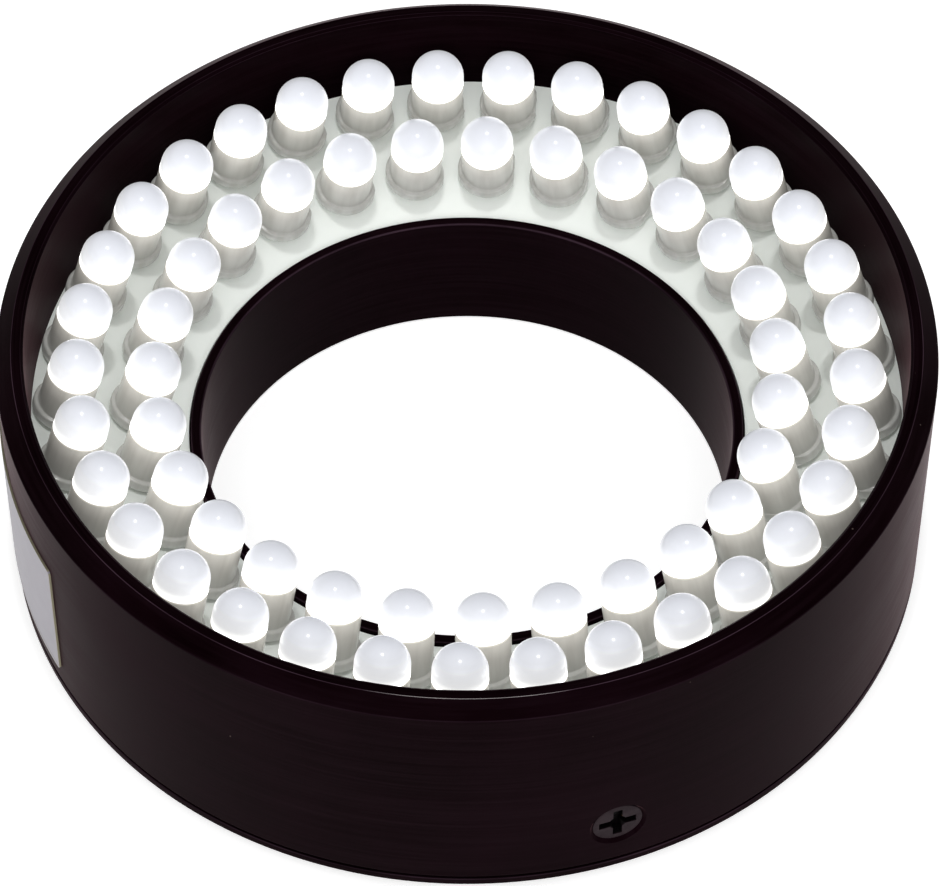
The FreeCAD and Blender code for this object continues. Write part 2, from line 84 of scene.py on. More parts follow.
BODY_RADIUS = radius_of("outer_housing")
BODY_TOP = top_of("outer_housing")
SEAM_TOP = foot_of("outer_housing")
WALL = 2.6
BEVEL_WIDTH = 1.5
BEVEL_DROP = 1.3
INNER_BREAK = 0.25
EDGE_BREAK = 0.75
EDGE_REACH = 0.3     # how far from a corner, in radius, its wear reaches

GROOVE_RADIUS = 41.8
FLANGE_THICKNESS = 1.5
PLATE_THICKNESS = 3.0
SPIGOT_GAP = 0.05
SPIGOT_RADIUS = BODY_RADIUS - WALL - SPIGOT_GAP
SPIGOT_WALL = 2.75
SPIGOT_TOP = top_of("base_plate")
BACK_SCREW_CIRCLE = mounts["back_screws"]["dims"]["pcd_mm"] / 2
BACK_SCREW_RADIUS = mounts["back_screws"]["dims"]["hole_r_mm"]
BACK_SCREW_ANGLES = (45, 135, 225, 315)
# a cone that starts below the back face breaks the edge of each hole in it
BACK_SINK_DEPTH = 1
BACK_SINK_WIDTH = 1.2

BORE_RADIUS = mounts["bore"]["dims"]["r_mm"]
SLEEVE_RADIUS = 26.0
SHOULDER_RADIUS = radius_of("bore_sleeve")
SHOULDER_FOOT = 10.0
SHOULDER_RISE = 1.4
COLLAR_RADIUS = 25.72
COLLAR_TOP = top_of("bore_sleeve")

BOARD_INNER_RADIUS = 25.9
BOARD_OUTER_RADIUS = radius_of("circuit_board")
BOARD_THICKNESS = 0.62
BOARD_SLOPE = 0.2867
BOARD_GAP = 0.02
BOARD_RIM_HEIGHT = top_of("circuit_board")

# rows of LEDs: radius, how many, angle of the first one
LED_ROWS = {"outer": (37.51, 33, -3.7), "inner": (30.59, 27, -7.2)}
STRING_LENGTH = 3    # LEDs in one piece
LED_STANDOFF = 0.5
LENS_RADIUS = 2.5
DOME_HEIGHT = 6.2
FLANGE_RADIUS = 2.9
FLANGE_HEIGHT = 1.0
FLAT_DISTANCE = 2.55
TOUCH = 0.01         # two lengths closer than this count as equal

FIRST_SCREW_ANGLE = -71.8
SCREW_ANGLES = [FIRST_SCREW_ANGLE + turn for turn in (0, 120, 240)]
SCREW_HEIGHT = 7.0
SCREW_HEAD_RADIUS = 2.35
SCREW_SHANK_RADIUS = 1.2
SCREW_LENGTH = 5.0
SCREW_RECESS = 0.25
SCREW_CLEARANCE = 1.4
SCREW_HEAD_RIM = 0.15
SCREW_CONE_DEPTH = 1.15
COUNTERSINK_RADIUS = 2.75

# cross recess: length and width of an arm pair at the mouth and at the foot, and its depth
CROSS_MOUTH = (3.6, 0.90)
CROSS_FOOT = (3.0, 0.72)
CROSS_DEPTH = 1.0
CROSS_CORE_DEPTH = 1.2

# cutting tools stand this far above the face they cut
TOOL_LIFT = 0.2

INLET_ANGLE = 90
INLET_HEIGHT = 8.2
INLET_FACE = 42.1
INLET_HOLE_RADIUS = 4.0
INLET_SPOT_RADIUS = 5.45

NAMEPLATE_FIRST_ANGLE = 174.0
NAMEPLATE_SPAN = 35.8
NAMEPLATE_SKIN = 0.2
NAMEPLATE_CORNER = 0.5
NAMEPLATE_CORNER_STEPS = 8
NAMEPLATE_STEPS = 40
NAMEPLATE_EDGE = 0.04
NAMEPLATE_LINE_HEIGHT = 0.55

# how finely round shapes are divided
ROUND_STEPS = 320
ARC_STEPS = 4
SCREW_STEPS = 64
RECESS_STEPS = 32
INLET_STEPS = 96
LENS_STEPS = 48
DOME_STEPS = 14
BACK_HOLE_STEPS = 48
SHARP_ANGLE = 38


# Meshes

def board_height(radius):
    return BOARD_RIM_HEIGHT + BOARD_SLOPE * (radius - BOARD_OUTER_RADIUS)


def rounded(corners, closed=True):
    """An outline of (radius, height, wear) from (radius, height, rounding) corners. Wear is 1 on
    the middle of each rounded corner and 0 elsewhere."""
    outline = []
    for index, (x, y, rounding) in enumerate(corners):
        here = Vector((x, y))
        at_end = not closed and index in (0, len(corners) - 1)
        if rounding == 0 or at_end:
            outline.append((x, y, 0.0))
            continue
        before = (Vector(corners[index - 1][:2]) - here).normalized()
        after = (Vector(corners[(index + 1) % len(corners)][:2]) - here).normalized()
        half = before.angle(after) / 2
        centre = here + (before + after).normalized() * rounding / math.sin(half)
        start = here + before * rounding / math.tan(half) - centre
        turn = start.angle_signed(here + after * rounding / math.tan(half) - centre)
        for step in range(ARC_STEPS + 1):
            part = step / ARC_STEPS
            point = centre + Matrix.Rotation(-turn * part, 2) @ start
            outline.append((point.x, point.y, 1 - abs(2 * part - 1)))
    return outline


def lathe(mesh, outline, steps=ROUND_STEPS, place=None, closed=True):
    """Turns an outline round Z into a mesh. Each vertex keeps its edge wear and its place in
    the outline's own frame."""
    wear_layer = mesh.verts.layers.float.get("wear") or mesh.verts.layers.float.new("wear")
    local_layer = (mesh.verts.layers.float_vector.get("local")
                   or mesh.verts.layers.float_vector.new("local"))
    place = place or Matrix.Identity(4)
    rings = []
    for radius, height, wear in outline:
        ring = []
        for step in range(steps if radius > 0 else 1):
            angle = math.tau * step / steps
            local = Vector((radius * math.cos(angle), radius * math.sin(angle), height))
            vertex = mesh.verts.new(place @ local)
            vertex[wear_layer] = wear
            vertex[local_layer] = local
            ring.append(vertex)
        rings.append(ring)
    pairs = list(zip(rings, rings[1:]))
    if closed:
        pairs.append((rings[-1], rings[0]))
    for low, high in pairs:
        for step in range(steps):
            following = (step + 1) % steps
            corners = []
            for vertex in (low[step % len(low)], low[following % len(low)],
                           high[following % len(high)], high[step % len(high)]):
                if vertex not in corners:
                    corners.append(vertex)
            if len(corners) > 2:
                mesh.faces.new(corners)
    return mesh


def as_object(name, mesh):
    bmesh.ops.recalc_face_normals(mesh, faces=mesh.faces)
    data = bpy.data.meshes.new(name)
    mesh.to_mesh(data)
    mesh.free()
    item = bpy.data.objects.new(name, data)
    bpy.context.scene.collection.objects.link(item)
    return item


def carve(item, tools):
    """Cuts the tools out of an object and removes them."""
    for tool in tools:
        modifier = item.modifiers.new("cut", "BOOLEAN")
        modifier.operation = "DIFFERENCE"
        modifier.solver = "EXACT"
        modifier.object = tool
    bpy.context.view_layer.update()
    depsgraph = bpy.context.evaluated_depsgraph_get()
    data = bpy.data.meshes.new_from_object(item.evaluated_get(depsgraph))
    item.modifiers.clear()
    item.data = data
    for tool in tools:
        bpy.data.objects.remove(tool)
    return item


def finish_piece(item, slot, *nodes):
    """Scales a piece to metres, shades it, gives it its finish, attaches it to the body and hides
    the nodes it stands in for.
    """
    item.data.transform(Matrix.Scale(MM, 4))
    item.data.shade_smooth()
    item.data.set_sharp_from_angle(angle=math.radians(SHARP_ANGLE))
    shading = item.modifiers.new("even_shading", "WEIGHTED_NORMAL")
    shading.keep_sharp = True
    item.data.materials.clear()
    item.data.materials.append(finishes[slot])
    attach(item, BODY)
    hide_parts(*nodes)


def on_wall(angle, radius, height):
    """A frame on the round wall whose Z points outwards."""
    return (Matrix.Rotation(math.radians(angle), 4, "Z")
            @ Matrix.Translation((radius, 0, height))
            @ Matrix.Rotation(math.radians(90), 4, "Y"))


# Materials

# turning marks: noise scale along and across them, and how much the radius counts beside height
SCALE_ALONG_MARKS = 60.0
SCALE_ACROSS_MARKS = 3500.0
RADIAL_SHARE = 1.3

# heights between which the upright bands in an LED's stem fade out, just under the die
BANDS_FADE_FROM, BANDS_FADE_TO = 5.2, 5.5


class Graph:
    """A node material under construction."""

    def __init__(self, name):
        self.material = bpy.data.materials.new(name)
        self.material.use_nodes = True
        self.tree = self.material.node_tree
        self.shader = self.tree.nodes["Principled BSDF"]

    def add(self, kind, inputs=None, **settings):
        node = self.tree.nodes.new("ShaderNode" + kind)
        for name, value in settings.items():
            setattr(node, name, value)
        for name, value in (inputs or {}).items():
            self.feed(node.inputs[name], value)
        return node

    def feed(self, socket, value):
        if isinstance(value, bpy.types.NodeSocket):
            self.tree.links.new(value, socket)
        else:
            socket.default_value = value

    def surface(self, **inputs):
        """Sets the Principled shader's sockets by name, with underscores for spaces."""
        for name, value in inputs.items():
            self.feed(self.shader.inputs[name.replace("_", " ")], value)

    def place(self):
        return self.add("TexCoord").outputs["Object"]

    def attribute(self, name, output="Fac"):
        return self.add("Attribute", attribute_name=name).outputs[output]

    def math(self, operation, first, second=0.0):
        node = self.add("Math", operation=operation)
        self.feed(node.inputs[0], first)
        self.feed(node.inputs[1], second)
        return node.outputs[0]

    def stretch(self, vector, scale):
        node = self.add("Mapping", {"Vector": vector})
        node.inputs["Scale"].default_value = scale
        return node.outputs[0]

    def noise(self, vector, scale=1.0, detail=3.0, roughness=0.55):
        node = self.add("TexNoise", {"Vector": vector, "Scale": scale, "Detail": detail,
                                     "Roughness": roughness})
        return node.outputs["Fac"]

    def remap(self, value, low, high, to_low=0.0, to_high=1.0):
        node = self.add("MapRange", {"Value": value, "From Min": low, "From Max": high,
                                     "To Min": to_low, "To Max": to_high})
        return node.outputs[0]

    def blend(self, share, first, second):
        """Mixes two colours."""
        node = self.add("Mix", data_type="RGBA")
        self.feed(node.inputs[0], share)
        for socket, colour in ((node.inputs[6], first), (node.inputs[7], second)):
            self.feed(socket, colour if isinstance(colour, bpy.types.NodeSocket) else (*colour, 1))
        return node.outputs[2]

    def ramp(self, value, stops):
        node = self.add("ValToRGB", {"Fac": value})
        elements = node.color_ramp.elements
        while len(elements) < len(stops):
            elements.new(0.5)
        for element, (position, colour) in zip(elements, stops):
            element.position = position
            element.color = (*colour, 1)
        return node.outputs["Color"]

    def bump(self, height, strength, distance):
        node = self.add("Bump", {"Height": height, "Strength": strength, "Distance": distance})
        return node.outputs[0]

    def turning(self):
        """Noise drawn out round the Z axis, like the marks of a lathe tool."""
        parts = self.add("SeparateXYZ", {"Vector": self.place()}).outputs
        flat = self.add("CombineXYZ", {"X": parts[0], "Y": parts[1]}).outputs[0]
        radius = self.add("VectorMath", {0: flat}, operation="LENGTH").outputs["Value"]
        lines = self.math("ADD", parts[2], self.math("MULTIPLY", radius, RADIAL_SHARE))
        vector = self.add("CombineXYZ", {
            "X": self.math("MULTIPLY", parts[0], SCALE_ALONG_MARKS),
            "Y": self.math("MULTIPLY", parts[1], SCALE_ALONG_MARKS),
            "Z": self.math("MULTIPLY", lines, SCALE_ACROSS_MARKS),
        }).outputs[0]
        return self.noise(vector, detail=4.0, roughness=0.65)


# a painted glint shows only on the stretch of rim edge nearest the front, given in metres along Y
GLINT_FROM, GLINT_TO = -0.0404, -0.0411


def black_anodised():
    """Black dyed aluminium with turning marks, soft stains, rubbed edges, a few specks and a
    painted glint along the front of the rim's bevel edge.
    """
    graph = Graph("black_anodised")
    marks = graph.turning()
    stains = graph.noise(graph.place(), 70.0, 5.0)
    dark, light = (0.0016, 0.0001, 0.0005), (0.0042, 0.0009, 0.0021)
    body = graph.blend(graph.remap(stains, 0.35, 0.7), dark, light)
    streaked = graph.blend(graph.remap(marks, 0.4, 0.8, 0.0, 0.6), body, (0.009, 0.004, 0.006))
    specks = graph.remap(graph.noise(graph.place(), 900.0, 2.0), 0.80, 0.84)
    speckled = graph.blend(specks, streaked, (0.12, 0.09, 0.08))
    wear = graph.attribute("wear")
    rubbed = graph.math("MULTIPLY", wear, graph.remap(stains, 0.4, 0.7, 0.2, 0.7))
    polished = graph.blend(rubbed, speckled, (0.06, 0.035, 0.05))
    nearness = graph.add("SeparateXYZ", {"Vector": graph.place()}).outputs[1]
    # painted glint: wear above 1.1, given only to the edge between the flat rim and the bevel,
    # turns that edge pale grey on the stretch nearest the front
    glint_edge = graph.math("MULTIPLY", graph.remap(wear, 1.1, 1.6),
                      graph.remap(nearness, GLINT_FROM, GLINT_TO))
    painted_glint = graph.math("MULTIPLY", glint_edge, graph.remap(stains, 0.3, 0.6, 0.3, 1.0))
    colour = graph.blend(painted_glint, polished, (0.42, 0.40, 0.39))
    gloss = graph.math("ADD", graph.remap(marks, 0.3, 0.8, -0.06, 0.06),
                       graph.remap(stains, 0.3, 0.7, 0.34, 0.44))
    graph.surface(Base_Color=colour, Roughness=gloss, Normal=graph.bump(marks, 0.25, 0.00002),
                  Specular_IOR_Level=0.006, Specular_Tint=(1.0, 0.70, 0.78, 1.0),
                  Sheen_Weight=0.10, Sheen_Roughness=0.3, Sheen_Tint=(1.0, 0.52, 0.58, 1.0))
    return graph.material


def screw_steel():
    """Blackened steel with painted shade inside the cross recess, and a little brass showing at its
    rim.
    """
    graph = Graph("blackened_steel")
    clouds = graph.noise(graph.place(), 700.0, 4.0)
    fine = graph.noise(graph.place(), 5000.0, 3.0)
    depth = graph.add("SeparateXYZ", {"Vector": graph.attribute("local", "Vector")}).outputs[2]
    face = graph.blend(graph.remap(clouds, 0.3, 0.7), (0.009, 0.004, 0.006), (0.020, 0.012, 0.015))
    # painted shade: below the head's face the cross recess turns near black
    recess_shade = graph.remap(depth, -0.02, -0.12)
    shaded = graph.blend(recess_shade, face, (0.0008, 0.0003, 0.0005))
    lip = graph.math("MULTIPLY", graph.remap(depth, -0.01, -0.05), graph.remap(depth, -0.30, -0.10))
    chips = graph.math("MULTIPLY", lip, graph.remap(clouds, 0.65, 0.67))
    graph.surface(Base_Color=graph.blend(chips, shaded, (0.16, 0.08, 0.03)),
                  Roughness=graph.remap(fine, 0.3, 0.7, 0.4, 0.6),
                  Normal=graph.bump(fine, 0.3, 0.00002), Specular_IOR_Level=0.06)
    return graph.material


def milky_epoxy():
    """Diffused lens of a lit LED: brightest in a band round the die, softer towards the pole and
    greyish, with upright bands, down the stem."""
    graph = Graph("milky_epoxy")
    local = graph.attribute("local", "Vector")
    height = graph.add("SeparateXYZ", {"Vector": local}).outputs[2]
    rise = graph.remap(height, 0.0, DOME_HEIGHT + LENS_RADIUS)    # 0 at the foot, 1 at the pole
    bands = graph.noise(graph.stretch(local, (0.9, 0.9, 0.12)), 1.0, 2.0)
    body = graph.ramp(rise, [
        (0.00, (0.54, 0.55, 0.53)),
        (0.12, (0.48, 0.48, 0.46)),
        (0.60, (0.56, 0.54, 0.51)),
        (0.62, (0.76, 0.77, 0.80)),
        (1.00, (0.72, 0.74, 0.80)),
    ])
    below = graph.remap(height, BANDS_FADE_FROM, BANDS_FADE_TO, 0.4, 0.0)
    band_share = graph.math("MULTIPLY", below, graph.remap(bands, 0.35, 0.65))
    banded = graph.blend(band_share, body, (0.32, 0.31, 0.29))
    glow = graph.ramp(rise, [
        (0.00, (0.020, 0.020, 0.019)),
        (0.12, (0.010, 0.010, 0.009)),
        (0.40, (0.020, 0.019, 0.017)),
        (0.575, (0.045, 0.043, 0.038)),
        (0.600, (0.130, 0.124, 0.108)),
        (0.622, (1.00, 1.00, 0.98)),
        (0.66, (0.25, 0.25, 0.24)),
        (0.72, (0.15, 0.15, 0.15)),
        (0.80, (0.105, 0.105, 0.105)),
        (0.85, (0.072, 0.072, 0.072)),
        (0.90, (0.046, 0.046, 0.047)),
        (1.00, (0.024, 0.024, 0.026)),
    ])
    graph.surface(Base_Color=banded, Roughness=graph.remap(bands, 0.3, 0.7, 0.17, 0.23),
                  Emission_Color=glow, Emission_Strength=4.0)
    return graph.material


def board_mask():
    """White solder mask with a faint green cast."""
    graph = Graph("board_mask")
    grain = graph.noise(graph.place(), 700.0, 4.0)
    clouds = graph.noise(graph.place(), 60.0, 3.0)
    colour = graph.blend(clouds, (0.84, 0.88, 0.84), (0.87, 0.905, 0.87))
    graph.surface(Base_Color=colour, Roughness=graph.remap(grain, 0.3, 0.7, 0.42, 0.55),
                  Normal=graph.bump(grain, 0.10, 0.00003))
    return graph.material


def mottled(name, first, second, scale, rough, metallic=0.0):
    """A plain material whose colour, gloss and surface vary a little."""
    graph = Graph(name)
    clouds = graph.noise(graph.place(), scale, 4.0)
    fine = graph.noise(graph.place(), scale * 9, 3.0)
    graph.surface(Base_Color=graph.blend(graph.remap(clouds, 0.3, 0.7), first, second),
                  Roughness=graph.remap(fine, 0.3, 0.7, *rough),
                  Normal=graph.bump(fine, 0.2, 0.00003), Metallic=metallic)
    return graph.material


def nameplate_silver(half_width, half_height):
    """Matt silver plate, brushed along its length, with yellowed cut edges, a thin line along its
    lower side and a plain green block printed at its far end."""
    graph = Graph("nameplate_silver")
    local = graph.attribute("local", "Vector")
    parts = graph.add("SeparateXYZ", {"Vector": local}).outputs
    brushed = graph.noise(graph.stretch(local, (0.3, 14.0, 1.0)), 1.0, 4.0)
    clouds = graph.noise(local, 0.3, 3.0)
    across = graph.math("SUBTRACT", half_width, graph.math("ABSOLUTE", parts[0]))
    upward = graph.math("SUBTRACT", half_height, graph.math("ABSOLUTE", parts[1]))
    inset = graph.math("MINIMUM", across, upward)
    silver = graph.blend(clouds, (0.23, 0.215, 0.245), (0.28, 0.265, 0.295))
    streaked = graph.blend(graph.remap(brushed, 0.3, 0.7, 0.0, 0.3), silver, (0.33, 0.315, 0.345))
    from_foot = graph.math("ADD", parts[1], half_height)
    away = graph.math("ABSOLUTE", graph.math("SUBTRACT", from_foot, NAMEPLATE_LINE_HEIGHT))
    lined = graph.blend(graph.remap(away, 0.06, 0.14, 0.6, 0.0), streaked, (0.10, 0.09, 0.08))
    block = graph.math("MULTIPLY", graph.remap(parts[0], -half_width * 0.40, -half_width * 0.42),
                       graph.remap(parts[1], half_height * 0.1, half_height * 0.12))
    printed = graph.blend(block, lined, (0.02, 0.16, 0.06))
    colour = graph.blend(graph.remap(inset, 0.11, 0.06), printed, (0.24, 0.22, 0.15))
    graph.surface(Base_Color=colour, Roughness=graph.remap(brushed, 0.3, 0.7, 0.42, 0.55),
                  Metallic=0.2, Normal=graph.bump(brushed, 0.1, 0.00002))
    return graph.material


plate_low, plate_high = (corner.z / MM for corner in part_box("nameplate"))
plate_half_width = math.radians(NAMEPLATE_SPAN) * BODY_RADIUS / 2
plate_half_height = (plate_high - plate_low) / 2

finishes = {
    "black_anodised": black_anodised(),
    "support_plastic": mottled("support_plastic", (0.04, 0.04, 0.04), (0.06, 0.06, 0.06),
                               300, (0.5, 0.7)),
    "insulating_film": mottled("insulating_film", (0.50, 0.34, 0.07), (0.62, 0.44, 0.12),
                               120, (0.25, 0.4)),
    "nameplate_silver": nameplate_silver(plate_half_width, plate_half_height),
    "blackened_steel": screw_steel(),
    "board_mask": board_mask(),
    "milky_epoxy": milky_epoxy(),
    "tinned_lead": mottled("tinned_lead", (0.60, 0.60, 0.60), (0.75, 0.75, 0.74),
                           900, (0.2, 0.35), 1.0),
    "led_die": mottled("led_die", (0.80, 0.72, 0.25), (0.90, 0.82, 0.35), 3000, (0.4, 0.6)),
    "component_black": mottled("component_black", (0.03, 0.03, 0.033), (0.05, 0.05, 0.055),
                               800, (0.4, 0.6)),
    "inlet_plastic": mottled("inlet_plastic", (0.010, 0.009, 0.010), (0.022, 0.020, 0.022),
                             500, (0.35, 0.5)),
    "contact_metal": mottled("contact_metal", (0.62, 0.58, 0.50), (0.75, 0.72, 0.64),
                             700, (0.2, 0.35), 1.0),
    "zinc_plated": mottled("zinc_plated", (0.52, 0.52, 0.50), (0.68, 0.68, 0.64),
                           500, (0.25, 0.45), 1.0),
    "wire_red": mottled("wire_red", (0.45, 0.02, 0.02), (0.55, 0.04, 0.03), 400, (0.4, 0.5)),
    "wire_black": mottled("wire_black", (0.02, 0.02, 0.02), (0.035, 0.035, 0.035),
                          400, (0.4, 0.5)),
}

for subpart in frame["record"]["subparts"]:
    if subpart["node"] in frame["nodes"]:
        node = frame["nodes"][subpart["node"]]
        node.data.materials.clear()
        node.data.materials.append(finishes[subpart["material_slot"]])


# Turned metal parts

def wear_and_glint_share(radius, wear_and_glint_edges):
    """How hard an edge is worn, and above 1.1 where it carries a painted glint: the share of the
    listed edge nearby, or 1.
    """
    for edge_radius, share in wear_and_glint_edges.items():
        if abs(radius - edge_radius) < EDGE_REACH:
            return share
    return 1.0


def outer_housing():
    inner = BODY_RADIUS - WALL
    bevel_top = BODY_RADIUS - BEVEL_WIDTH
    outline = rounded([
        (inner, SEAM_TOP, 0.10),
        (BODY_RADIUS, SEAM_TOP, 0.12),
        (BODY_RADIUS, BODY_TOP - BEVEL_DROP, 0.25),
        (bevel_top, BODY_TOP, 0.15),
        (inner + INNER_BREAK, BODY_TOP, 0.06),
        (inner, BODY_TOP - INNER_BREAK, 0.06),
    ])
    # the edge between the flat rim and the bevel gets the most wear, and its share above 1.1 also
    # carries a painted glint near the front; the one below it little wear
    wear_and_glint_edges = {bevel_top: 2.0, BODY_RADIUS: 0.3}
    outline = [(radius, height, wear * wear_and_glint_share(radius, wear_and_glint_edges))
               for radius, height, wear in outline]
    shell = as_object("housing_shell", lathe(bmesh.new(), outline))
    tools = []
    sink_depth = COUNTERSINK_RADIUS - SCREW_CLEARANCE
    for angle in SCREW_ANGLES:
        tools.append(as_object("countersink", lathe(bmesh.new(), [
            (0, -2 * WALL, 0),
            (SCREW_CLEARANCE, -2 * WALL, 0),
            (SCREW_CLEARANCE, -sink_depth, 0),
            (COUNTERSINK_RADIUS, 0, 0),
            (COUNTERSINK_RADIUS + 0.3, 0.3, 0),
            (0, 1.0, 0),
        ], SCREW_STEPS, on_wall(angle, BODY_RADIUS, SCREW_HEIGHT), closed=False)))
    tools.append(as_object("inlet_hole", lathe(bmesh.new(), [
        (0, -2 * WALL, 0),
        (INLET_HOLE_RADIUS, -2 * WALL, 0),
        (INLET_HOLE_RADIUS, 0, 0),
        (INLET_SPOT_RADIUS, 0, 0),
        (INLET_SPOT_RADIUS, 2 * WALL, 0),
        (0, 2 * WALL, 0),
    ], INLET_STEPS, on_wall(INLET_ANGLE, INLET_FACE, INLET_HEIGHT), closed=False)))
    finish_piece(carve(shell, tools), "black_anodised", "outer_housing")


def base_plate():
    spigot_inner = SPIGOT_RADIUS - SPIGOT_WALL
    plate = as_object("base_disc", lathe(bmesh.new(), rounded([
        (SLEEVE_RADIUS, 0, 0.05),
        (BODY_RADIUS - EDGE_BREAK, 0, 0.15),
        (BODY_RADIUS, EDGE_BREAK, 0.15),
        (BODY_RADIUS, FLANGE_THICKNESS, 0.12),
        (GROOVE_RADIUS, FLANGE_THICKNESS, 0.05),
        (GROOVE_RADIUS, SEAM_TOP, 0),
        (SPIGOT_RADIUS, SEAM_TOP, 0),
        (SPIGOT_RADIUS, SPIGOT_TOP, 0.2),
        (spigot_inner, SPIGOT_TOP, 0.2),
        (spigot_inner, PLATE_THICKNESS, 0.2),
        (SLEEVE_RADIUS, PLATE_THICKNESS, 0.05),
    ])))
    tools = []
    for angle in BACK_SCREW_ANGLES:
        place = (Matrix.Rotation(math.radians(angle), 4, "Z")
                 @ Matrix.Translation((BACK_SCREW_CIRCLE, 0, 0)))
        tools.append(as_object("back_hole", lathe(bmesh.new(), [
            (0, -BACK_SINK_DEPTH, 0),
            (BACK_SCREW_RADIUS + BACK_SINK_WIDTH, -BACK_SINK_DEPTH, 0),
            (BACK_SCREW_RADIUS, TOOL_LIFT, 0),
            (BACK_SCREW_RADIUS, 2 * PLATE_THICKNESS, 0),
            (0, 2 * PLATE_THICKNESS, 0),
        ], BACK_HOLE_STEPS, place, closed=False)))
    finish_piece(carve(plate, tools), "black_anodised", "base_plate")


def bore_sleeve():
    sleeve = as_object("bore_tube", lathe(bmesh.new(), rounded([
        (BORE_RADIUS, 0, 0.15),
        (SLEEVE_RADIUS, 0, 0.05),
        (SLEEVE_RADIUS, SHOULDER_FOOT, 0.1),
        (SHOULDER_RADIUS, SHOULDER_FOOT + SHOULDER_RISE, 0.1),
        (SHOULDER_RADIUS, board_height(SHOULDER_RADIUS) - BOARD_THICKNESS, 0.1),
        (COLLAR_RADIUS, board_height(COLLAR_RADIUS) - BOARD_THICKNESS, 0.05),
        (COLLAR_RADIUS, COLLAR_TOP, 0.15),
        (BORE_RADIUS, COLLAR_TOP, 0.2),
    ])))
    finish_piece(sleeve, "black_anodised", "bore_sleeve")


def circuit_board():
    """The white board, drawn out to the housing's inner wall."""
    rim = BODY_RADIUS - WALL - BOARD_GAP
    board = as_object("white_board", lathe(bmesh.new(), rounded([
        (BOARD_INNER_RADIUS, board_height(BOARD_INNER_RADIUS) - BOARD_THICKNESS, 0),
        (rim, board_height(rim) - BOARD_THICKNESS, 0),
        (rim, board_height(rim), 0.05),
        (BOARD_INNER_RADIUS, board_height(BOARD_INNER_RADIUS), 0.05),
    ])))
    finish_piece(board, "board_mask", "circuit_board")


# Screws

def keep_local(item):
    """Writes each vertex's present place into its "local" attribute."""
    for vertex, entry in zip(item.data.vertices, item.data.attributes["local"].data):
        entry.vector = vertex.co


def tapered_bar(mesh, mouth, foot, depth):
    """A bar that narrows downwards, one arm pair of a cross recess."""
    corners = []
    for (long_side, short_side), height in ((mouth, TOOL_LIFT), (foot, -depth)):
        for x, y in ((-1, -1), (1, -1), (1, 1), (-1, 1)):
            corners.append(mesh.verts.new((x * long_side / 2, y * short_side / 2, height)))
    mesh.faces.new(corners[:4])
    mesh.faces.new(corners[4:][::-1])
    for side in range(4):
        following = (side + 1) % 4
        mesh.faces.new((corners[side], corners[4 + side], corners[4 + following],
                        corners[following]))
    return mesh


def screw(place):
    """A countersunk screw with a cross recess; its Z points out of the head."""
    blank = as_object("screw", lathe(bmesh.new(), rounded([
        (0, -SCREW_LENGTH, 0),
        (SCREW_SHANK_RADIUS, -SCREW_LENGTH, 0.3),
        (SCREW_SHANK_RADIUS, -SCREW_HEAD_RIM - SCREW_CONE_DEPTH, 0.1),
        (SCREW_HEAD_RADIUS, -SCREW_HEAD_RIM, 0.04),
        (SCREW_HEAD_RADIUS, 0, 0.10),
        (0, 0, 0),
    ], closed=False), SCREW_STEPS, closed=False))
    tools = []
    for turn in (0, 90):
        bar = as_object("cross_bar",
                        tapered_bar(bmesh.new(), CROSS_MOUTH, CROSS_FOOT, CROSS_DEPTH))
        bar.data.transform(Matrix.Rotation(math.radians(turn), 4, "Z"))
        tools.append(bar)
    tools.append(as_object("cross_core", lathe(bmesh.new(), [
        (0, -CROSS_CORE_DEPTH, 0),
        (0.35, -1.05, 0),
        (0.95, TOOL_LIFT, 0),
        (0, TOOL_LIFT, 0),
    ], RECESS_STEPS, closed=False)))
    carve(blank, tools)
    keep_local(blank)
    blank.data.transform(place)
    return blank


def join(name, items):
    mesh = bmesh.new()
    for item in items:
        mesh.from_mesh(item.data)
        bpy.data.objects.remove(item)
    return as_object(name, mesh)


def housing_screws():
    face = BODY_RADIUS - SCREW_RECESS
    screws = [screw(on_wall(angle, face, SCREW_HEIGHT)) for angle in SCREW_ANGLES]
    finish_piece(join("cross_recess_screws", screws), "blackened_steel", "housing_screws")


# Nameplate

